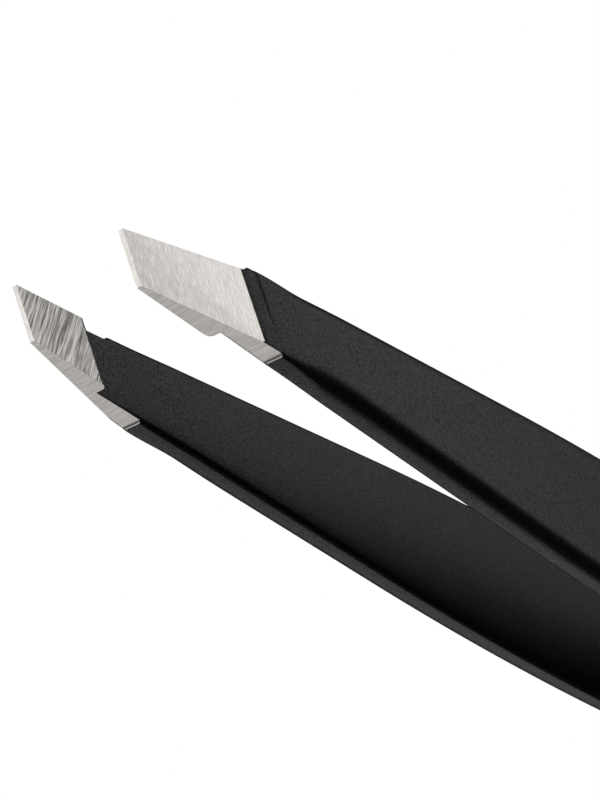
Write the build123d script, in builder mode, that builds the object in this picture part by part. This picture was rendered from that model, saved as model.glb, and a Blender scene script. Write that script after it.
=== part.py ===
from build123d import *

import os
from math import asin, cos, degrees, radians, sin, tan

# Slant tweezers. Two stamped steel blades lie face to face at the tail, where two spot welds
# hold them, and spread apart towards the tips. A matte black coat covers them up to the tips,
# whose bevels, edges and gripping pads are ground bare.
#
# Frame: +X points from the tail to the tips, +Z is up and the blades close along Y. The
# tweezers lie on the long edges of their blades. The origin is on the resting plane, under
# the middle of the length. The right blade is the one on the -Y side.

# Whole tweezers
LENGTH = 95.0  # tail end to the foremost corner of the slanted tips
BLADE_WIDTH = 11.0  # across a blade at its widest station
WIDEST_STATION = 31.5  # from the tail end
TAIL_WIDTH = 6.6  # across the rounded tail
FLANK_START = 59.5  # from the tail end; ahead of it the sides run straight to the tips
FLANK_SHARE = 0.8045  # width of a blade at FLANK_START over BLADE_WIDTH
NECK_WIDTH = 4.95  # across the coated blade where the ground side above begins

# One blade, seen from the side
BLADE = 2.05  # stamped thickness, coat included
COAT = 0.08  # coat thickness
JOINED = 12.0  # length over which the blades lie face to face
ROOT_RADIUS = 12.0  # inner face, where a blade leaves the joined tail
SPREAD_ANGLE = 19.0  # slope of the straight shank between the root and the shoulder
SHOULDER_RADIUS = 20.0  # inner face, where a blade turns level
HALF_GAP = 4.44  # inner face of the level stretch to the middle plane
OUTER_ROUND = 0.268  # rounding of the outer face's long edges over BLADE
INNER_ROUND = 0.146  # rounding of the inner face's long edges over BLADE

# Tip of a blade; lengths along it are square to the slanted edge
SLANT = 25.0
TIP_WIDTH = 3.0  # across the slanted front
THIN_START = 17.0  # from the slanted edge; ahead of it the outer face curves inward
THIN_RADIUS = 90.0
HALF_TIP_GAP = 3.8  # pad to the middle plane
TIP_EDGE = 0.32  # thickness of the front edge
BEVEL_LENGTH = 7.5
BEVEL_ANGLE = 14.0
PAD_LENGTH = 5.13
PAD_ROUND = 0.4
PAD_ROOT = 0.5  # how far the pad's body reaches into the blade
RELIEF_DEPTH = 0.18  # from the inner face to the floor right behind the pad
RELIEF_LENGTH = 8.0  # over which that floor runs out into the inner face
UPPER_SIDE = 9.7  # length of the ground side above, back from its front corner
UPPER_TAPER = 4.6
LOWER_SIDE = 8.35  # length of the ground side below, back from its front corner
LOWER_TAPER = 2.6
WHEEL_ROUND = 0.25  # run-out radius that the grinding wheel leaves in the sides

# Joining and flexing
WELD_INSET = 0.6  # bare metal meets metal inside this margin of the joined faces
WELD_STATIONS = (4.2, 8.8)  # from the tail end
WELD_RADIUS = 1.5
WELD_DEPTH = 0.5  # how far a nugget reaches into each blade
WELD_CHAMFER = 0.35
FLEX_CLEARANCE = 0.03  # radial play of the round split that stands in for the flexing stretch

OVERRUN = 0.5  # how far raw shapes run past the ground tip
SAME_PLACE = 0.01  # two points this near along an axis count as being at one station

tail = -LENGTH / 2
front = LENGTH / 2
mid_height = BLADE_WIDTH / 2
flank_width = FLANK_SHARE * BLADE_WIDTH
slant_drop = TIP_WIDTH * tan(radians(SLANT))
spread = radians(SPREAD_ANGLE)
shank = (HALF_GAP - (ROOT_RADIUS + SHOULDER_RADIUS) * (1 - cos(spread))) / sin(spread)
bevel_height = HALF_TIP_GAP + TIP_EDGE + BEVEL_LENGTH * tan(radians(BEVEL_ANGLE))

# A blade's flat view is drawn on face_plane, and whatever runs along the slant on slant_plane,
# whose origin is the middle of the slanted front edge.
face_plane = Plane(origin=(0, 0, mid_height), x_dir=(1, 0, 0), z_dir=(0, -1, 0))
slant_plane = Plane(
    origin=(front - slant_drop / 2, 0, mid_height),
    x_dir=(cos(radians(SLANT)), 0, sin(radians(SLANT))),
    z_dir=(-sin(radians(SLANT)), 0, cos(radians(SLANT))),
)


def blade_line(depth):
    """Draw the face of the right blade that lies `depth` outward from its inner face."""
    joined = Line((tail, -depth), (tail + JOINED, -depth))
    root = JernArc(joined @ 1, joined % 1, ROOT_RADIUS - depth, -SPREAD_ANGLE)
    slope = PolarLine(root @ 1, shank, -SPREAD_ANGLE)
    shoulder = JernArc(slope @ 1, slope % 1, SHOULDER_RADIUS + depth, SPREAD_ANGLE)
    return Line(shoulder @ 1, (front + OVERRUN, -HALF_GAP - depth))


def blade_outline(inset):
    """One blade's flat view, `inset` inside its true edge, with raw length past the tip."""
    end = (tail + TAIL_WIDTH / 2, TAIL_WIDTH / 2 - inset)
    widest = (tail + WIDEST_STATION, BLADE_WIDTH / 2 - inset)
    flank = (tail + FLANK_START, flank_width / 2 - inset)
    neck_station = front - slant_drop - UPPER_SIDE
    slope = (flank_width - NECK_WIDTH) / 2 / (neck_station - flank[0])
    tip = (front + OVERRUN, flank[1] - slope * (front + OVERRUN - flank[0]))
    with BuildSketch() as flat:
        with BuildLine():
            ThreePointArc(end, (tail + inset, 0), (end[0], -end[1]))
            waist = Spline(end, widest, tangents=((1, 0), (1, 0)))
            flank_bend = Spline(widest, flank, tangents=((1, 0), (1, -slope)))
            side = Line(flank, tip)
            mirror((waist, flank_bend, side), about=Plane.XZ)
            Line(tip, (tip[0], -tip[1]))
        make_face()
    return flat.sketch


def thinned_space(skin):
    """The space outside a blade's outer face where that face curves inward to the tip."""
    arc_turn = degrees(asin((THIN_START - BEVEL_LENGTH) / THIN_RADIUS))
    with BuildSketch(slant_plane) as profile:
        with BuildLine():
            level = Line((-LENGTH / 2, skin - HALF_GAP - BLADE), (-THIN_START, skin - HALF_GAP - BLADE))
            curve = JernArc(level @ 1, level % 1, THIN_RADIUS, arc_turn)
            back = JernArc(curve @ 1, curve % 1, BEVEL_LENGTH / sin(radians(arc_turn)), -arc_turn)
            Polyline(
                back @ 1,
                ((back @ 1).X + 2 * OVERRUN, (back @ 1).Y),
                ((back @ 1).X + 2 * OVERRUN, -2 * HALF_GAP),
                (-LENGTH / 2, -2 * HALF_GAP),
                level @ 0,
            )
        make_face()
    with BuildPart() as space:
        add(profile.sketch)
        extrude(amount=BLADE_WIDTH, both=True)
    return space.part


def long_edges(raw, side):
    """The edges along a blade's outer face (side -1) or inner face (side 1)."""
    faces = raw.faces().filter_by(lambda face: side * face.normal_at().Y > 0.5)
    return faces.edges().filter_by(Axis.Z, reverse=True)


def blank(skin):
    """The right blade before grinding, `skin` inside its coated surface."""
    with BuildPart() as raw:
        with BuildSketch(Plane.XY):
            with BuildLine():
                inner = blade_line(skin)
                outer = blade_line(BLADE - skin)
                Line(outer @ 1, inner @ 1)
                Line((tail, -skin), (tail, skin - BLADE))
            make_face()
        extrude(amount=BLADE_WIDTH)
        with BuildSketch(face_plane):
            add(blade_outline(skin))
        extrude(amount=BLADE_WIDTH, both=True, mode=Mode.INTERSECT)
        add(thinned_space(skin), mode=Mode.SUBTRACT)
        fillet(long_edges(raw, -1), OUTER_ROUND * BLADE - skin)
        fillet(long_edges(raw, 1), INNER_ROUND * BLADE - skin)
        with BuildSketch(slant_plane):
            face = -HALF_GAP - skin
            with BuildLine():
                Polyline(
                    (OVERRUN, face - RELIEF_DEPTH),
                    (-PAD_LENGTH, face - RELIEF_DEPTH),
                    (-PAD_LENGTH - RELIEF_LENGTH, face),
                    (-PAD_LENGTH - RELIEF_LENGTH, 0),
                    (OVERRUN, 0),
                    close=True,
                )
            make_face()
        extrude(amount=BLADE_WIDTH, both=True, mode=Mode.SUBTRACT)
    return raw.part


# The gripping pad stands out of the inner face behind the slanted edge. Its rear corner is
# rounded, and its body reaches into the blade.
with BuildPart() as pad:
    with BuildSketch(slant_plane) as pad_profile:
        with Locations((-PAD_LENGTH, -HALF_TIP_GAP)):
            Rectangle(
                PAD_LENGTH + OVERRUN,
                HALF_GAP + RELIEF_DEPTH + PAD_ROOT - HALF_TIP_GAP,
                align=(Align.MIN, Align.MAX),
            )
        fillet(pad_profile.vertices().sort_by(Axis.X)[:2].sort_by(Axis.Y)[-1], PAD_ROUND)
    extrude(amount=NECK_WIDTH, both=True)

# Everything that the grinding wheel takes off a blade: the bevel and the slanted front as one
# cut along the slant, and the flats on its two sides, which run out in the wheel's own radius.
with BuildPart() as grinding:
    with BuildSketch(slant_plane):
        with BuildLine():
            Polyline(
                (0, -HALF_TIP_GAP / 2),
                (0, -HALF_TIP_GAP - TIP_EDGE),
                (-2 * BEVEL_LENGTH, HALF_TIP_GAP + TIP_EDGE - 2 * bevel_height),
                (-2 * BEVEL_LENGTH, -2 * bevel_height),
                (TIP_WIDTH, -2 * bevel_height),
                (TIP_WIDTH, -HALF_TIP_GAP / 2),
                close=True,
            )
        make_face()
    extrude(amount=BLADE_WIDTH, both=True)
    with BuildSketch(face_plane) as sides:
        for side, length, taper, corner in (
            (1, UPPER_SIDE, UPPER_TAPER, front - slant_drop),
            (-1, LOWER_SIDE, LOWER_TAPER, front),
        ):
            slope = tan(radians(taper))
            with BuildLine():
                Polyline(
                    (corner - length, side * (TIP_WIDTH / 2 + slope * length)),
                    (corner + TIP_WIDTH, side * TIP_WIDTH * (0.5 - slope)),
                    (corner + TIP_WIDTH, side * BLADE_WIDTH),
                    (corner - length, side * BLADE_WIDTH),
                    close=True,
                )
            make_face()
            rear = sides.vertices().filter_by_position(
                Axis.X, corner - length - SAME_PLACE, corner - length + SAME_PLACE
            )
            fillet(rear.sort_by(Axis.Y)[0 if side == 1 else -1], WHEEL_ROUND)
    extrude(amount=BLADE_WIDTH, both=True)

# The flexing stretch of a blade is split by a cylinder at the middle of its sloping shank. The
# split's axis is the blade's joint.
with BuildLine(mode=Mode.PRIVATE) as middle:
    joined_middle = Line((tail, -BLADE / 2), (tail + JOINED, -BLADE / 2))
    root_middle = JernArc(joined_middle @ 1, joined_middle % 1, ROOT_RADIUS - BLADE / 2, -SPREAD_ANGLE)
    shank_middle = PolarLine(root_middle @ 1, shank, -SPREAD_ANGLE)
pivot = shank_middle @ 0.5
flex_plane = Plane(
    origin=(pivot.X, pivot.Y, 0),
    x_dir=(cos(radians(SPREAD_ANGLE)), -sin(radians(SPREAD_ANGLE)), 0),
    z_dir=(0, 0, 1),
)


def ahead_of_split(play):
    """The space ahead of the split, whose round end is `play` larger than the blade's own."""
    with BuildPart() as space:
        with BuildSketch(flex_plane):
            Circle(BLADE / 2 + play)
            Rectangle(LENGTH, LENGTH, align=(Align.MIN, Align.CENTER))
        extrude(amount=BLADE_WIDTH)
    return space.part


def welded_core():
    """The right blade's steel, with its joined face bare where it meets the other blade."""
    with BuildPart() as steel:
        add(core)
        with BuildSketch(face_plane):
            add(blade_outline(WELD_INSET))
            with Locations((tail + JOINED - WELD_INSET, 0)):
                Rectangle(
                    LENGTH, BLADE_WIDTH, align=(Align.MIN, Align.CENTER), mode=Mode.SUBTRACT
                )
        extrude(amount=BLADE / 2)
    return steel.part


envelope = blank(0)
core = blank(COAT)
bonded = welded_core()

# The welds: two flat nuggets of melted steel, half in each blade.
with BuildPart() as weld_nuggets:
    with BuildSketch(face_plane.offset(-WELD_DEPTH)):
        with Locations([(tail + station, 0) for station in WELD_STATIONS]):
            Circle(WELD_RADIUS)
    extrude(amount=2 * WELD_DEPTH)
    chamfer(weld_nuggets.edges().filter_by(GeomType.CIRCLE), WELD_CHAMFER)

# Behind the split: the root of each blade, which stays still.
with BuildPart() as right_root:
    add(bonded)
    add(ahead_of_split(FLEX_CLEARANCE), mode=Mode.SUBTRACT)
    add(weld_nuggets.part, mode=Mode.SUBTRACT)

with BuildPart() as left_root:
    mirror(right_root.part, about=Plane.XZ)

with BuildPart() as root_coat:
    add(envelope)
    add(bonded, mode=Mode.SUBTRACT)
    add(ahead_of_split(FLEX_CLEARANCE), mode=Mode.SUBTRACT)
    mirror(about=Plane.XZ)

# Ahead of the split: the length of each blade that swings, ground at its tip.
with BuildPart() as right_blade:
    add(core)
    add(pad.part)
    add(grinding.part, mode=Mode.SUBTRACT)
    add(ahead_of_split(0), mode=Mode.INTERSECT)

with BuildPart() as left_blade:
    mirror(right_blade.part, about=Plane.XZ)

with BuildPart() as right_coat:
    add(envelope)
    add(core, mode=Mode.SUBTRACT)
    add(pad.part, mode=Mode.SUBTRACT)
    add(grinding.part, mode=Mode.SUBTRACT)
    add(ahead_of_split(0), mode=Mode.INTERSECT)

with BuildPart() as left_coat:
    mirror(right_coat.part, about=Plane.XZ)

pieces = {
    "right_blade": right_blade,
    "left_blade": left_blade,
    "right_root": right_root,
    "left_root": left_root,
    "right_coat": right_coat,
    "left_coat": left_coat,
    "root_coat": root_coat,
    "weld_nuggets": weld_nuggets,
}

os.makedirs("parts", exist_ok=True)
for label, piece in pieces.items():
    piece.part.label = label
    export_step(piece.part, f"parts/{label}.step")
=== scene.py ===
# %% [markdown]
# # Slant tweezers
# Slanted tweezers are two stamped strips of spring steel. They lie face to face at the tail,
# where spot welds hold them, and spread apart towards the tips. A matte black coat is baked
# on, and then a grinding wheel bares the tips. This lesson makes each strip the way a press
# shop does: cut it flat, bend it, thin its tip, grind it. The frame gives the places.

# %% The frame
from math import cos, pi, radians, sin, sqrt, tan

import bmesh
import bpy
import numpy as np
from mathutils import Matrix, Vector


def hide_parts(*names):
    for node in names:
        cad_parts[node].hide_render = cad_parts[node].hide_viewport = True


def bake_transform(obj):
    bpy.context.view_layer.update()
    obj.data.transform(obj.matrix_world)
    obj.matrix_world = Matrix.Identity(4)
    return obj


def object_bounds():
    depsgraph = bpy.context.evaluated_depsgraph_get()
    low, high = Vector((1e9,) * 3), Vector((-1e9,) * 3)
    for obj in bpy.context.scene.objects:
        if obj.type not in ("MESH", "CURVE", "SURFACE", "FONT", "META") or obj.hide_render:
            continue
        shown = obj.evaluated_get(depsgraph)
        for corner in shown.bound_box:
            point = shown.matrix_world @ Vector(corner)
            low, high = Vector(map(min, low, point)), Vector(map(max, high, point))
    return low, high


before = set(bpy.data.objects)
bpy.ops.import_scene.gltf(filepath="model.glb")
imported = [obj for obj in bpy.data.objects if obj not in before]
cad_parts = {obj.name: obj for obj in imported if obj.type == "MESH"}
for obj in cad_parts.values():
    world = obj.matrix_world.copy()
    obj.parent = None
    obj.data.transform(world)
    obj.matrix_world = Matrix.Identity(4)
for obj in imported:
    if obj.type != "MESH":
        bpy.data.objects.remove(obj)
cad_low, cad_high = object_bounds()
MM = 0.001
print("frame in mm:", [round(c / MM, 2) for c in (*cad_low, *cad_high)])

# %% [markdown]
# ## Sizes
# The tail, the front and the middle height come from the frame. The other sizes are those of
# the press tool and the grinding wheel, so each is named once. Lengths along the grind are
# square to the slanted edge.

# %% Sizes of a blade
TAIL = cad_low.x
FRONT = cad_high.x
MIDDLE = (cad_low.z + cad_high.z) / 2
HALF_WIDTH = (cad_high.z - cad_low.z) / 2
THICK = 2.05 * MM
HALF_GAP = cad_high.y - THICK
TAIL_HALF = 3.3 * MM
WIDEST = TAIL + 31.5 * MM
FLANK = TAIL + 59.5 * MM
FLANK_HALF = 4.425 * MM
TAPER = 0.0799
COAT = 0.05 * MM
SLANT = radians(25)
TIP_HALF = 1.5 * MM
EDGE_MIDDLE = FRONT - TIP_HALF * tan(SLANT)
print("blade: half width", round(HALF_WIDTH / MM, 2), "half gap", round(HALF_GAP / MM, 2))

# %% Sizes of the ground tip
PAD_GAP = 3.8 * MM
TIP_EDGE = 0.32 * MM
BEVEL_ANGLE = radians(14)
PAD_LENGTH = 5.13 * MM
PAD_ROUND = 0.4 * MM
THIN_START = 17 * MM
THIN_END = 7.5 * MM
THIN_RADIUS = 90 * MM
RELIEF_DEPTH = 0.18 * MM
RELIEF_LENGTH = 8 * MM
UPPER_SIDE, UPPER_TAPER = 9.7 * MM, tan(radians(4.6))
LOWER_SIDE, LOWER_TAPER = 8.35 * MM, tan(radians(2.6))
WHEEL_ROUND = 0.25 * MM
OVERRUN = 0.5 * MM

# %% [markdown]
# ## The flat blank
# On the real tweezers the blank is punched from sheet and its long edges are tumbled round.
# A box with a Bevel modifier would do, but its tail could not follow an arc. Here rings of
# points run round the section at each station, every ring point is set in from the outline
# by its share of the rounding, and the rings lean over to the slant near the tip, so that
# the grain of the mesh follows the grind.

# %% The outline of the blank
def half_width(x):
    """Half of the blade's width at the station x."""
    end = TAIL + TAIL_HALF
    if x < end:
        return sqrt(max(TAIL_HALF**2 - (end - x) ** 2, 0))
    if x < WIDEST:
        t = (x - end) / (WIDEST - end)
        return TAIL_HALF + (HALF_WIDTH - TAIL_HALF) * t * t * (3 - 2 * t)
    if x < FLANK:
        t = (x - WIDEST) / (FLANK - WIDEST)
        ease = t * t * (3 - 2 * t)
        lean = TAPER * (FLANK - WIDEST) * (t * t - t**3)
        return HALF_WIDTH + (FLANK_HALF - HALF_WIDTH) * ease + lean
    return FLANK_HALF - TAPER * (x - FLANK)


def smooth(x, low, high):
    """Goes smoothly from 0 at low to 1 at high."""
    t = min(max((x - low) / (high - low), 0), 1)
    return t * t * (3 - 2 * t)


def roundings(x):
    """Radii of the outer and inner long edges, which are tumbled less where the tip is thin."""
    outer = 1.1 - 0.78 * smooth(x, 33 * MM, 38 * MM)
    inner = 0.5 - 0.2 * smooth(x, 35 * MM, 41 * MM)
    return outer * MM, inner * MM


print("half width at the neck:", round(half_width(36.4 * MM) / MM, 3), "mm")


# %% [markdown]
# ## Thinning and relief
# Before it is coated, the tip is rolled thinner on the outside and relieved on the inside,
# right behind the gripping pad. Both follow the slant. They could be cut away, but a cut
# would spoil the rounded edges, so the depth of each ring point is changed instead.

# %% How deep the faces lie near the tip
def thinning(back):
    """How far the outer face has closed in, at the distance back from the slanted edge."""
    if back > THIN_START:
        return 0
    run = THIN_START - max(back, THIN_END)
    drop = THIN_RADIUS - sqrt(THIN_RADIUS**2 - run**2)
    if back < THIN_END:
        slope = run / sqrt(THIN_RADIUS**2 - run**2)
        drop += slope * (THIN_END - back) * (1 - (THIN_END - back) / (2 * THIN_END + OVERRUN))
    return drop


def relief(back):
    """How far the inner face has been ground down, behind the gripping pad."""
    ramp = (PAD_LENGTH + RELIEF_LENGTH - back) / RELIEF_LENGTH
    return RELIEF_DEPTH * min(max(ramp, 0), 1)


def crease(back, z):
    """A shallow line that the roller leaves across the outer face, fading at the upper side."""
    line = (back - THIN_END - 0.75 * MM) / (0.1 * MM)
    return 0.05 * MM * (1 - 0.6 * smooth(z, -MM, 2 * MM)) / (1 + line**4)


print("thinning at the grind:", round(thinning(THIN_END) / MM, 3), "mm")


# %% The rings of the flat blank
FACE_COLUMNS, OUTER_STEPS, INNER_STEPS, TAIL_STEPS = 8, 9, 5, 14
LEAN_START, LEAN_END = 12 * MM, 30 * MM


def section(x, skin):
    """Ring points as (side, share across, inset, depth), clockwise from the inner face."""
    outer, inner = (radius - skin for radius in roundings(x))
    deep = THICK - 2 * skin
    half = [(1 - 2 * k / FACE_COLUMNS, inner, 0) for k in range(FACE_COLUMNS // 2, -1, -1)]
    for k in range(1, INNER_STEPS + 1):
        turn = pi / 2 * k / INNER_STEPS
        half.append((1, inner * (1 - sin(turn)), inner * (1 - cos(turn))))
    for k in range(OUTER_STEPS):
        turn = pi / 2 * k / OUTER_STEPS
        half.append((1, outer * (1 - cos(turn)), deep - outer * (1 - sin(turn))))
    half += [(1 - 2 * k / FACE_COLUMNS, outer, deep) for k in range(FACE_COLUMNS // 2 + 1)]
    across = [(1, *point) for point in half]
    return across + [(-1, *point) for point in reversed(half[1:-1])]


def stations():
    """The stations of the rings: (x, turn) with turn less than a quarter round the tail."""
    tail = [(None, pi / 2 * (k + 0.02) / TAIL_STEPS) for k in range(TAIL_STEPS)]
    steps = [(TAIL + TAIL_HALF, 11), (WIDEST - 12 * MM, 42), (20 * MM, 30), (34 * MM, 22)]
    steps += [(37 * MM, 20), (41.5 * MM, 45), (FRONT + 2 * MM, 12)]
    xs = []
    for (low, _), (high, count) in zip(steps, steps[1:]):
        xs += list(np.linspace(low, high, count, endpoint=False))
    return tail + [(x, pi / 2) for x in xs] + [(FRONT + 2 * MM, pi / 2)]


def flat_blank(name, skin):
    """The blank as it is punched, laid out flat, with its surface skin inside the coat's."""
    mesh = bmesh.new()
    rings = []
    for x, turn in stations():
        ring = []
        for side, across, inset, depth in section(TAIL if x is None else x, skin):
            if x is None:
                radius = TAIL_HALF - skin - inset
                px = TAIL + TAIL_HALF - radius * cos(turn)
                z = side * across * radius * sin(turn)
            else:
                lean = tan(SLANT) * smooth(x, LEAN_START, LEAN_END)
                px = x
                # The width sets the lean and the lean the width; a few rounds settle both.
                for _ in range(4):
                    z = side * across * (half_width(px) - skin - inset)
                    px = x - lean * z
            back = (EDGE_MIDDLE - px) * cos(SLANT) - z * sin(SLANT)
            share = depth / (THICK - 2 * skin)
            y = skin + depth + relief(back) * (1 - share) - thinning(back) * share
            if share > 0.8:
                y -= crease(back, z) * (share - 0.8) * 5
            ring.append(mesh.verts.new((px, -y, z)))
        rings.append(ring)
    for low, high in zip(rings, rings[1:]):
        for k in range(len(low)):
            mesh.faces.new((low[k], low[k - 1], high[k - 1], high[k]))
    mesh.faces.new(rings[0])
    mesh.faces.new(list(reversed(rings[-1])))
    bmesh.ops.recalc_face_normals(mesh, faces=mesh.faces)
    data = bpy.data.meshes.new(name)
    mesh.to_mesh(data)
    mesh.free()
    blank = bpy.data.objects.new(name, data)
    bpy.context.scene.collection.objects.link(blank)
    print(name, "has", len(data.polygons), "faces")
    return blank


# %% [markdown]
# ## Bending
# The press bends the flat strip along one line: level, round the root, up the shank, round
# the shoulder and level again. An armature or a Simple Deform would bend it too, but neither
# keeps two different radii. This node tree draws that line from its sizes, rounds its two
# corners, and moves every point of the strip from its place on the flat to its place on it.

# %% The sizes of the bends
JOINED = 12 * MM
ROOT_RADIUS = 12 * MM
SHOULDER_RADIUS = 20 * MM
SPREAD = radians(19)
LINE_LENGTH = 0.1
BEND_SIZES = {
    "Joined": JOINED,
    "Root radius": ROOT_RADIUS,
    "Shoulder radius": SHOULDER_RADIUS,
    "Spread": SPREAD,
    "Half gap": HALF_GAP,
    "Tail": TAIL,
}


def node(tree, kind, inputs=(), **settings):
    """Adds one node, sets it up, and links or fills its inputs."""
    made = tree.nodes.new(kind)
    for key, value in settings.items():
        setattr(made, key, value)
    pairs = inputs.items() if isinstance(inputs, dict) else enumerate(inputs)
    for key, value in pairs:
        if isinstance(value, bpy.types.NodeSocket):
            tree.links.new(value, made.inputs[key])
        elif value is not None:
            made.inputs[key].default_value = value
    return made


def calculate(tree, operation, *values):
    """One Math node's result."""
    return node(tree, "ShaderNodeMath", values, operation=operation).outputs[0]


# %% The line that the press bends the strip along
def press_line(tree, size):
    """A curve of four corners, with the root and the shoulder rounded, in the XY plane."""
    half_turn = calculate(tree, "TANGENT", calculate(tree, "MULTIPLY", size["Spread"], 0.5))
    root_x = calculate(tree, "MULTIPLY_ADD", half_turn, size["Root radius"], size["Joined"])
    reach = calculate(tree, "DIVIDE", size["Half gap"], calculate(tree, "TANGENT", size["Spread"]))
    down = calculate(tree, "MULTIPLY", size["Half gap"], -1.0)
    corners = [
        (None, None),
        (root_x, None),
        (calculate(tree, "ADD", root_x, reach), down),
        (LINE_LENGTH, down),
    ]
    places = [node(tree, "ShaderNodeCombineXYZ", {0: x, 1: y}).outputs[0] for x, y in corners]
    line = node(tree, "GeometryNodeCurvePrimitiveLine", {"End": (LINE_LENGTH, 0, 0)})
    four = node(tree, "GeometryNodeResampleCurve", {"Curve": line.outputs[0], "Count": 4})
    index = node(tree, "GeometryNodeInputIndex").outputs[0]
    pick = node(tree, "GeometryNodeIndexSwitch", data_type="VECTOR")
    while len(pick.index_switch_items) < 4:
        pick.index_switch_items.new()
    tree.links.new(index, pick.inputs[0])
    for k, place in enumerate(places):
        tree.links.new(place, pick.inputs[k + 1])
    bent = node(
        tree,
        "GeometryNodeSetPosition",
        {"Geometry": four.outputs[0], "Position": pick.outputs[0]},
    )
    is_shoulder = node(
        tree, "FunctionNodeCompare", {2: index, 3: 2}, data_type="INT", operation="EQUAL"
    )
    radius = node(tree, "GeometryNodeSwitch", input_type="FLOAT")
    tree.links.new(is_shoulder.outputs[0], radius.inputs[0])
    tree.links.new(size["Root radius"], radius.inputs[1])
    tree.links.new(size["Shoulder radius"], radius.inputs[2])
    return node(
        tree,
        "GeometryNodeFilletCurve",
        {"Curve": bent.outputs[0], "Count": 40, "Radius": radius.outputs[0]},
        mode="POLY",
    ).outputs[0]


# %% The tree that bends a strip
def bending_tree(finish):
    """Bends whatever it is given along the press line, then gives it its finish."""
    tree = bpy.data.node_groups.new("press_bend", "GeometryNodeTree")
    tree.interface.new_socket("Strip", in_out="INPUT", socket_type="NodeSocketGeometry")
    for label in BEND_SIZES:
        tree.interface.new_socket(label, in_out="INPUT", socket_type="NodeSocketFloat")
    tree.interface.new_socket("Strip", in_out="OUTPUT", socket_type="NodeSocketGeometry")
    given = node(tree, "NodeGroupInput").outputs
    size = {label: given[label] for label in BEND_SIZES}
    line = press_line(tree, size)
    position = node(tree, "GeometryNodeInputPosition").outputs[0]
    place = node(tree, "ShaderNodeSeparateXYZ", [position])
    along = calculate(tree, "SUBTRACT", place.outputs[0], size["Tail"])
    sample = node(
        tree,
        "GeometryNodeSampleCurve",
        {"Curves": line, "Length": along},
        mode="LENGTH",
        use_all_curves=False,
    )
    left = node(
        tree,
        "ShaderNodeVectorMath",
        {0: (0, 0, 1), 1: sample.outputs["Tangent"]},
        operation="CROSS_PRODUCT",
    )
    outward = node(
        tree,
        "ShaderNodeVectorMath",
        {0: left.outputs[0], "Scale": place.outputs[1]},
        operation="SCALE",
    )
    level = node(tree, "ShaderNodeCombineXYZ", {0: size["Tail"], 2: place.outputs[2]})
    on_line = node(
        tree,
        "ShaderNodeVectorMath",
        [sample.outputs["Position"], outward.outputs[0]],
        operation="ADD",
    )
    target = node(
        tree, "ShaderNodeVectorMath", [on_line.outputs[0], level.outputs[0]], operation="ADD"
    )
    moved = node(
        tree,
        "GeometryNodeSetPosition",
        {"Geometry": given["Strip"], "Position": target.outputs[0]},
    )
    real = node(tree, "GeometryNodeRealizeInstances", [moved.outputs[0]])
    done = node(tree, "GeometryNodeSetMaterial", {"Geometry": real.outputs[0], "Material": finish})
    node(tree, "NodeGroupOutput", [done.outputs[0]])
    return tree


def line_length(x):
    """The length along the press line of the point of its inner face that lies at x."""
    shank = (HALF_GAP - (ROOT_RADIUS + SHOULDER_RADIUS) * (1 - cos(SPREAD))) / sin(SPREAD)
    level = min(x - TAIL, JOINED)
    left = max(x - TAIL - JOINED, 0)
    root = min(left, ROOT_RADIUS * sin(SPREAD))
    left -= root
    slope = min(left, shank * cos(SPREAD))
    left -= slope
    shoulder = min(left, SHOULDER_RADIUS * sin(SPREAD))
    left -= shoulder
    root_turn = np.arcsin(root / ROOT_RADIUS)
    shoulder_turn = SPREAD - np.arcsin(sin(SPREAD) - shoulder / SHOULDER_RADIUS)
    bent = ROOT_RADIUS * root_turn + slope / cos(SPREAD) + SHOULDER_RADIUS * shoulder_turn
    return level + bent + left


def press(strip, finish):
    """Bends a flat strip with the tree, and keeps the result as a plain mesh."""
    for vertex in strip.data.vertices:
        vertex.co.x = TAIL + line_length(vertex.co.x)
    modifier = strip.modifiers.new("press", "NODES")
    modifier.node_group = bending_tree(finish)
    for item in modifier.node_group.interface.items_tree:
        if item.in_out == "INPUT" and item.name in BEND_SIZES:
            modifier[item.identifier] = BEND_SIZES[item.name]
    bpy.context.view_layer.update()
    ready = strip.evaluated_get(bpy.context.evaluated_depsgraph_get())
    bent = bpy.data.meshes.new_from_object(ready)
    strip.modifiers.clear()
    strip.data = bent
    for vertex in bent.vertices:
        vertex.co.z += MIDDLE
    low = np.array([v.co for v in bent.vertices]).min(0) / MM
    print(strip.name, "bent; lowest corner in mm:", np.round(low, 2))
    return strip


# %% [markdown]
# ## The finishes
# The coat is a baked black paint, nearly without diffuse colour. What is seen of it is a
# soft sheen, broken up by a fine grain. An image of noise could do it, but a noise texture on
# Object coordinates needs no unwrapping and stays in place when the blade swings.

# %% Helpers for materials
def material(name):
    """A new material: its tree, its surface node and its Object coordinates."""
    made = bpy.data.materials.new(name)
    made.use_nodes = True
    tree = made.node_tree
    tree.nodes.clear()
    surface = node(tree, "ShaderNodeBsdfPrincipled")
    node(tree, "ShaderNodeOutputMaterial", [surface.outputs[0]])
    where = node(tree, "ShaderNodeTexCoord").outputs["Object"]
    return made, tree, surface, where


def noise(tree, where, scale, detail=2.0, stretch=(1, 1, 1), turn=(0, 0, 0)):
    """Noise that is stretched along its own axes, after they have been turned."""
    turned = node(
        tree,
        "ShaderNodeMapping",
        {"Vector": where, "Rotation": turn, "Scale": stretch},
        vector_type="TEXTURE",
    )
    inputs = {"Vector": turned.outputs[0], "Scale": scale, "Detail": detail}
    return node(tree, "ShaderNodeTexNoise", inputs).outputs["Fac"]


def remap(tree, value, low, high, to_low, to_high):
    """Maps a value from one range to another, clamped."""
    return node(tree, "ShaderNodeMapRange", [value, low, high, to_low, to_high]).outputs[0]


def bump(tree, height, depth):
    """A bump node's normal for a height from 0 to 1."""
    return node(
        tree, "ShaderNodeBump", {"Strength": 1.0, "Distance": depth, "Height": height}
    ).outputs[0]


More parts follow.
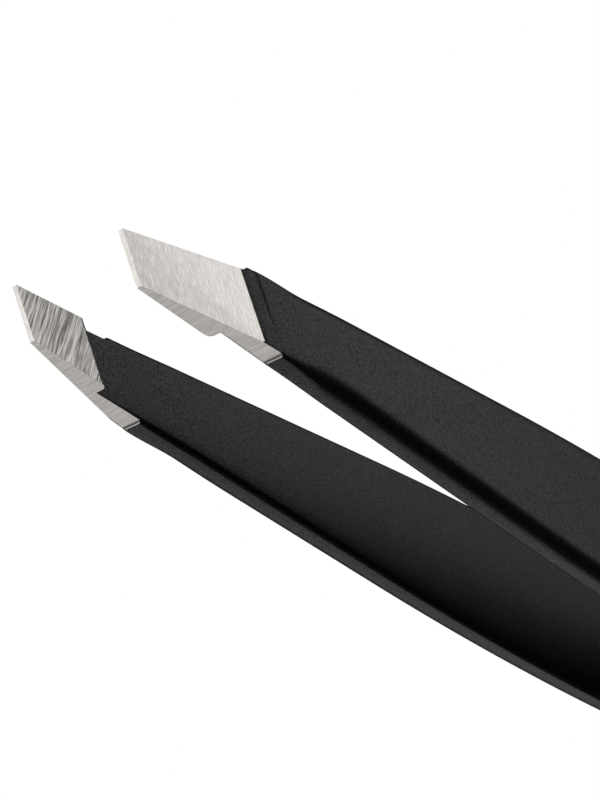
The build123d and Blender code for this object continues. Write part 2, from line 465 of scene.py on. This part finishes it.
# %% The black coat
def coat_finish():
    """Baked matte black: a fine even grain with pale specks, and a trace of orange peel."""
    made, tree, surface, where = material("baked_black_coat")
    peel = noise(tree, where, 1400, 2)
    grain = noise(tree, where, 9500, 2)
    specks = remap(tree, noise(tree, where, 6500, 1), 0.70, 0.76, 0, 1)
    shade_of = node(tree, "ShaderNodeMix", data_type="RGBA")
    tree.links.new(remap(tree, grain, 0.3, 0.7, 0, 1), shade_of.inputs[0])
    shade_of.inputs[6].default_value = (0.0004, 0.0004, 0.0005, 1)
    shade_of.inputs[7].default_value = (0.0090, 0.0090, 0.0093, 1)
    speckled = node(tree, "ShaderNodeMix", data_type="RGBA")
    tree.links.new(specks, speckled.inputs[0])
    tree.links.new(shade_of.outputs[2], speckled.inputs[6])
    speckled.inputs[7].default_value = (0.020, 0.020, 0.020, 1)
    tree.links.new(speckled.outputs[2], surface.inputs["Base Color"])
    tree.links.new(remap(tree, grain, 0.3, 0.7, 0.42, 0.34), surface.inputs["Roughness"])
    gloss = remap(tree, grain, 0.34, 0.66, 0.13, 0.37)
    tree.links.new(gloss, surface.inputs["Specular IOR Level"])
    height = calculate(tree, "MULTIPLY_ADD", peel, 0.25, calculate(tree, "MULTIPLY", grain, 0.75))
    tree.links.new(bump(tree, height, 0.016 * MM), surface.inputs["Normal"])
    return made


BLACK_COAT = coat_finish()
print("coat finish has", len(BLACK_COAT.node_tree.nodes), "nodes")

# %% [markdown]
# The ground faces show the marks of the wheel that made them. Each face was ground in its
# own direction, so there are three finishes: along the slant on the bevel, across the
# thickness on the sides, and coarse and leaning on the gripping pad. A fourth, darker one is
# for the broken edges between them. Its dark colour is painted shade, for the dark room that
# those edges mirror.


# %% The ground steel
def ground_finish(name, turn, stretch, scale, rough, depth, dark, light):
    """Bare steel with ground lines, stretched along one axis after it has been turned."""
    made, tree, surface, where = material(name)
    fine = noise(tree, where, scale, 4, stretch, turn)
    broad = noise(tree, where, scale / 4, 2, stretch, turn)
    mixed = calculate(tree, "MULTIPLY_ADD", fine, 0.6, calculate(tree, "MULTIPLY", broad, 0.4))
    lines = remap(tree, mixed, 0.36, 0.64, 0, 1)
    colour = node(tree, "ShaderNodeMix", data_type="RGBA")
    tree.links.new(lines, colour.inputs[0])
    colour.inputs[6].default_value = (dark, dark * 0.96, dark * 0.91, 1)
    colour.inputs[7].default_value = (light, light * 0.96, light * 0.91, 1)
    tree.links.new(colour.outputs[2], surface.inputs["Base Color"])
    roughness = remap(tree, fine, 0.3, 0.7, rough + 0.08, rough - 0.04)
    tree.links.new(roughness, surface.inputs["Roughness"])
    surface.inputs["Metallic"].default_value = 1.0
    tree.links.new(bump(tree, lines, depth), surface.inputs["Normal"])
    return made


BEVEL_STEEL = ground_finish(
    "ground_bevel", (0, radians(5) - SLANT, 0), (1, 1, 10), 20000, 0.3, 0.0006 * MM, 0.72, 0.90
)
SIDE_STEEL = ground_finish(
    "ground_side", (0, 0, 0), (1, 24, 1), 20000, 0.34, 0.0006 * MM, 0.46, 0.60
)
# The broken edges' near-black colour is painted shade, for the dark room that they mirror.
EDGE_STEEL = ground_finish(
    "painted_dark_edge", (0, 0, 0), (1, 1, 1), 4200, 0.3, 0.002 * MM, 0.01, 0.3
)
PAD_STEEL = ground_finish(
    "ground_pad", (0, radians(17), 0), (1, 1, 26), 17000, 0.3, 0.0014 * MM, 0.08, 0.72
)
print("ground finishes:", [f.name for f in (BEVEL_STEEL, SIDE_STEEL, PAD_STEEL, EDGE_STEEL)])

# %% [markdown]
# ## Grinding
# The wheel takes off the bevel, the slanted front and the two sides in flat cuts, and leaves
# the gripping pad standing inside. Each cut is a simple block, and a Boolean takes it away,
# because only a true cut gives the crisp edges that ground steel has.


# %% Blocks that stand for the wheel's cuts
def slant_point(along, out, across):
    """A point of the right blade from its place along, out of and across the slanted edge."""
    x = EDGE_MIDDLE + along * cos(SLANT) - across * sin(SLANT)
    return Vector((x, -out, MIDDLE + along * sin(SLANT) + across * cos(SLANT)))


def plan_point(x, across, out):
    """A point from its place in the blade's flat view."""
    return Vector((x, -out, MIDDLE + across))


def block(name, outline, low, high, place):
    """A prism: the outline, as pairs of numbers, run from low to high and put in place."""
    mesh = bmesh.new()
    ends = []
    for level in (low, high):
        ends.append([mesh.verts.new(place(a, b, level)) for a, b in outline])
    count = len(outline)
    for k in range(count):
        mesh.faces.new((ends[0][k - 1], ends[0][k], ends[1][k], ends[1][k - 1]))
    mesh.faces.new(list(reversed(ends[0])))
    mesh.faces.new(ends[1])
    bmesh.ops.recalc_face_normals(mesh, faces=mesh.faces)
    data = bpy.data.meshes.new(name)
    mesh.to_mesh(data)
    mesh.free()
    made = bpy.data.objects.new(name, data)
    bpy.context.scene.collection.objects.link(made)
    return made


def wheel_corner(x, half, outward, count=6):
    """The rounded inner corner that the wheel's edge leaves at the end of a side cut."""
    points = []
    for k in range(count + 1):
        turn = pi / 2 * k / count
        px = x + WHEEL_ROUND * (1 - cos(turn))
        points.append((px, outward * (half + WHEEL_ROUND * (1 - sin(turn)))))
    return points


# %% The four cuts and the pad
WIDE = 12 * MM
PAST_SIDE, PAST_BEVEL = 3 * MM, 5 * MM
PAD_ROOT = 0.5 * MM


def side_cut(name, outward, corner, length, taper):
    """The flat cut on one side of the tip, with its rounded run-out."""
    start = corner - length
    points = [(start, outward * WIDE)]
    points += wheel_corner(start, TIP_HALF + taper * length, outward)
    end = corner + PAST_SIDE
    points += [(end, outward * (TIP_HALF - taper * PAST_SIDE)), (end, outward * WIDE)]
    return block(name, points, 0, WIDE, plan_point)


def bevel_cut():
    """The bevel and the slanted front in one block."""
    rise = 2 * THIN_END * tan(BEVEL_ANGLE)
    edge = PAD_GAP + TIP_EDGE
    points = [(0, PAD_GAP / 2), (0, edge), (-2 * THIN_END, edge + rise)]
    points += [(-2 * THIN_END, 2 * WIDE), (PAST_BEVEL, 2 * WIDE), (PAST_BEVEL, PAD_GAP / 2)]
    return block("bevel_cut", points, -WIDE, WIDE, slant_point)


def pad_block():
    """The body of the gripping pad, with a rounded rear corner."""
    points = []
    for k in range(9):
        turn = pi / 2 * k / 8
        along = -PAD_LENGTH + PAD_ROUND * (1 - sin(turn))
        points.append((along, PAD_GAP + PAD_ROUND * (1 - cos(turn))))
    back = HALF_GAP + RELIEF_DEPTH + PAD_ROOT
    points = [(OVERRUN, PAD_GAP)] + points + [(-PAD_LENGTH, back), (OVERRUN, back)]
    return block("pad_block", points, -2 * TIP_HALF, 4 * TIP_HALF, slant_point)


def cut(target, tool, operation="DIFFERENCE"):
    """One exact Boolean, made plain at once. The tool is then thrown away."""
    modifier = target.modifiers.new("cut", "BOOLEAN")
    modifier.operation = operation
    modifier.solver = "EXACT"
    modifier.use_self = False
    modifier.object = tool
    ready = target.evaluated_get(bpy.context.evaluated_depsgraph_get())
    result = bpy.data.meshes.new_from_object(ready)
    target.modifiers.clear()
    target.data = result
    bpy.data.objects.remove(tool)
    return target


def grind(piece):
    """Takes the bevel, the front and the two sides off a piece."""
    cut(piece, bevel_cut())
    upper_corner = FRONT - 2 * TIP_HALF * tan(SLANT)
    cut(piece, side_cut("upper_cut", 1, upper_corner, UPPER_SIDE, UPPER_TAPER))
    cut(piece, side_cut("lower_cut", -1, FRONT, LOWER_SIDE, LOWER_TAPER))
    print(piece.name, "ground:", len(piece.data.polygons), "faces")
    return piece


# %% [markdown]
# ## The steel strip
# The strip is one piece of steel from tail to tip, so it is one object here, although its
# root and its swinging length are two solids in the frame. It is the bent blank, set in by
# the thickness of the coat, with the pad added and the tip ground.

# %% The right steel strip
right_steel = press(flat_blank("right_steel", COAT), BEVEL_STEEL)
cut(right_steel, pad_block(), "UNION")
grind(right_steel)

# %% [markdown]
# The coat is a thin shell: the outer blank with the steel blank taken out of it. The pad and
# the cuts then open it at the tip, and its edge shows there as a thin dark line.

# %% The right coat
right_skin = press(flat_blank("right_skin", 0), BLACK_COAT)
cut(right_skin, press(flat_blank("core", COAT), BLACK_COAT))
cut(right_skin, pad_block())
grind(right_skin)


# %% [markdown]
# ## Edges and facets
# A wheel never leaves a knife edge: the operator breaks each one by a hair. A Bevel modifier
# would also round the coat's rim, so only the edges between two ground faces are chosen, by
# the way their faces point. Every face then gets the finish of the cut that made it. The rest
# of the steel, nearly all of it under the coat, takes the finish of the broken edges, whose
# dark colour is painted shade.

# %% Which cut made a face
EDGE_BREAK = 0.045 * MM
BEVEL_WAY = (
    slant_point(sin(BEVEL_ANGLE), cos(BEVEL_ANGLE), 0) - slant_point(0, 0, 0)
).normalized()
FRONT_WAY = (slant_point(1, 0, 0) - slant_point(0, 0, 0)).normalized()


def which_cut(face):
    """The finish of a ground face, or None for a face of the blank."""
    way, middle = face.normal, face.calc_center_median()
    if middle.x < 30 * MM:
        return None
    if max(way.dot(BEVEL_WAY), way.dot(FRONT_WAY)) > 0.9995:
        return BEVEL_STEEL
    if way.y > 0.999 and abs(middle.y + PAD_GAP) < 0.02 * MM:
        return PAD_STEEL
    across = abs(middle.z - MIDDLE)
    if abs(way.y) < 0.05 and across < TIP_HALF + UPPER_TAPER * UPPER_SIDE + WHEEL_ROUND:
        return SIDE_STEEL
    return None


def break_edges(piece):
    """Breaks the edges between ground faces, gives out the finishes, and shades the rest."""
    mesh = bmesh.new()
    mesh.from_mesh(piece.data)
    bmesh.ops.remove_doubles(mesh, verts=mesh.verts, dist=0.002 * MM)
    found = {face: which_cut(face) for face in mesh.faces}
    chosen = []
    for edge in mesh.edges:
        kinds = [found[face] for face in edge.link_faces]
        if len(kinds) == 2 and None not in kinds and edge.calc_face_angle() > radians(20):
            chosen.append(edge)
    bmesh.ops.bevel(
        mesh,
        geom=chosen,
        offset=EDGE_BREAK,
        segments=2,
        profile=0.5,
        affect="EDGES",
        clamp_overlap=True,
    )
    finishes = [BEVEL_STEEL, SIDE_STEEL, PAD_STEEL, EDGE_STEEL]
    piece.data.materials.clear()
    for finish in finishes:
        piece.data.materials.append(finish)
    for face in mesh.faces:
        face.material_index = finishes.index(which_cut(face) or EDGE_STEEL)
    shade(mesh)
    mesh.to_mesh(piece.data)
    mesh.free()
    print(piece.name, "has", len(chosen), "broken edges and", len(finishes), "finishes")


def shade(mesh):
    """Shades smoothly, except over edges that are really there."""
    for face in mesh.faces:
        face.smooth = True
    for edge in mesh.edges:
        edge.smooth = len(edge.link_faces) == 2 and edge.calc_face_angle() < radians(11)


break_edges(right_steel)

# %% The skin's own edges
skin_mesh = bmesh.new()
skin_mesh.from_mesh(right_skin.data)
bmesh.ops.remove_doubles(skin_mesh, verts=skin_mesh.verts, dist=0.0005 * MM)
shade(skin_mesh)
skin_mesh.to_mesh(right_skin.data)
print("open edges of the skin:", sum(len(e.link_faces) != 2 for e in skin_mesh.edges))
skin_mesh.free()
right_skin.data.materials.clear()
right_skin.data.materials.append(BLACK_COAT)


# %% [markdown]
# ## The other blade
# The left blade is the mirror image, slant included. A Mirror modifier would fuse the two at
# the tail, and a negative scale turns a mesh inside out, so the copy's points are mirrored
# and its faces flipped.

# %% The left blade
def mirrored(piece, name):
    """The mirror image of a piece across the middle plane."""
    data = piece.data.copy()
    data.name = name
    data.transform(Matrix.Scale(-1, 4, (0, 1, 0)))
    data.flip_normals()
    made = bpy.data.objects.new(name, data)
    bpy.context.scene.collection.objects.link(made)
    return made


left_steel = mirrored(right_steel, "left_steel")
left_skin = mirrored(right_skin, "left_skin")
print("mirrored:", left_steel.name, left_skin.name)

# %% [markdown]
# ## Putting the pieces in place
# In the frame each blade turns on a hinge, because a solid can't bend. The real strip bends
# along its shank. Here each piece is made plain where it stands, and the frame's solids that
# it stands in for are hidden.

for side, out in (("right", -1), ("left", 1)):
    steel = bpy.data.objects[side + "_steel"]
    skin = bpy.data.objects[side + "_skin"]
    for piece in (steel, skin):
        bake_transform(piece)
    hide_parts(side + "_blade", side + "_root")
    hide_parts(side + "_coat", "root_coat")

# %% [markdown]
# The weld nuggets stay as the frame has them, hidden between the strips. Melted steel that
# froze in a closed joint is grey and dull, without grinding marks.


# %% The welds
def weld_finish():
    """Frozen weld metal: dull, with a coarse cast grain."""
    made, tree, surface, where = material("weld_metal")
    grain = noise(tree, where, 2500, 3)
    tree.links.new(remap(tree, grain, 0.3, 0.7, 0.5, 0.7), surface.inputs["Roughness"])
    tree.links.new(bump(tree, grain, 0.01 * MM), surface.inputs["Normal"])
    surface.inputs["Base Color"].default_value = (0.42, 0.42, 0.43, 1)
    surface.inputs["Metallic"].default_value = 1.0
    return made


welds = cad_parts["weld_nuggets"]
for place in welds.material_slots:
    place.material = weld_finish()
print("weld slots:", len(welds.material_slots))

# %% [markdown]
# ## Stage and light
# Small metal tools are shot over a clean white table, in a dark room, with soft boxes placed
# so that each flat of the tool mirrors one of them. A white room would be simpler, but
# it would also fill the rounded edges of the coat, which should stay black lines. The table
# is there for the camera only: mirrors look through it at the box below.


# %% The table and the room
def glow_for_camera(tree, surface_kind, colour, white):
    """An emission or background that is white to the camera, and its own colour to the rest."""
    light_path = node(tree, "ShaderNodeLightPath")
    mix = node(tree, "ShaderNodeMix", data_type="RGBA")
    tree.links.new(light_path.outputs["Is Camera Ray"], mix.inputs[0])
    mix.inputs[6].default_value = colour
    mix.inputs[7].default_value = white
    return node(tree, surface_kind, {"Color": mix.outputs[2]})


def table_finish():
    """A plain white table that is always evenly lit."""
    made = bpy.data.materials.new("white_table")
    made.use_nodes = True
    tree = made.node_tree
    tree.nodes.clear()
    glow = glow_for_camera(tree, "ShaderNodeEmission", (0.5, 0.5, 0.5, 1), (1, 1, 1, 1))
    node(tree, "ShaderNodeOutputMaterial", [glow.outputs[0]])
    return made


TABLE_HALF = 3
table_mesh = bpy.data.meshes.new("table")
corners = [
    (TABLE_HALF * x, TABLE_HALF * y, cad_low.z) for x, y in ((-1, -1), (1, -1), (1, 1), (-1, 1))
]
table_mesh.from_pydata(corners, [], [(0, 1, 2, 3)])
table_mesh.materials.append(table_finish())
table = bpy.data.objects.new("table", table_mesh)
bpy.context.scene.collection.objects.link(table)
table.visible_glossy = False
table.visible_shadow = False

ROOM = 0.03
world = bpy.data.worlds.new("dark_room")
bpy.context.scene.world = world
world.use_nodes = True
world.node_tree.nodes.clear()
sky = glow_for_camera(
    world.node_tree, "ShaderNodeBackground", (ROOM, ROOM, ROOM, 1), (1, 1, 1, 1)
)
node(world.node_tree, "ShaderNodeOutputWorld", [sky.outputs[0]])
bpy.context.scene.view_settings.view_transform = "Standard"


# %% The soft boxes
TIP = Vector((FRONT, 0, MIDDLE))


def soft_box(name, way, distance, size, radiance):
    """A square light that faces the tips and glows evenly."""
    light = bpy.data.lights.new(name, "AREA")
    light.size = size
    light.energy = radiance * pi * pi * size * size / 4
    made = bpy.data.objects.new(name, light)
    centre = TIP + Vector(way).normalized() * distance
    made.location = centre
    made.rotation_euler = (centre - TIP).to_track_quat("Z", "Y").to_euler()
    bpy.context.scene.collection.objects.link(made)
    return made


soft_box("face_box", (-0.56, -0.70, -0.45), 0.5, 0.42, 1.25)
soft_box("side_box", (-0.61, 0.51, 0.61), 0.5, 0.42, 1.1)
soft_box("front_box", (0.83, 0.51, 0.25), 0.5, 0.4, 1.4)

# %% [markdown]
# ## The camera
# The camera looks at the tips from the side and a little above, turned over, so that the
# tips point up and to the left.

# %% The camera
AZIMUTH, ELEVATION, ROLL = radians(53.68), radians(30.07), radians(176.0)
AIM = Vector((36.7, -7.1, 11.3)) * MM
DISTANCE = 114.2 * MM
camera_data = bpy.data.cameras.new("camera")
camera_data.lens = 94.4
camera_data.clip_start = 0.01
camera = bpy.data.objects.new("camera", camera_data)
away = Vector((sin(AZIMUTH) * cos(ELEVATION), -cos(AZIMUTH) * cos(ELEVATION), sin(ELEVATION)))
across = Vector((cos(AZIMUTH), sin(AZIMUTH), 0))
basis = Matrix((across, away.cross(across), away)).transposed().to_4x4()
camera.matrix_world = (
    Matrix.Translation(AIM + away * DISTANCE) @ basis @ Matrix.Rotation(ROLL, 4, "Z")
)
bpy.context.scene.collection.objects.link(camera)
bpy.context.scene.camera = camera
print("camera at", [round(c / MM, 1) for c in camera.location])
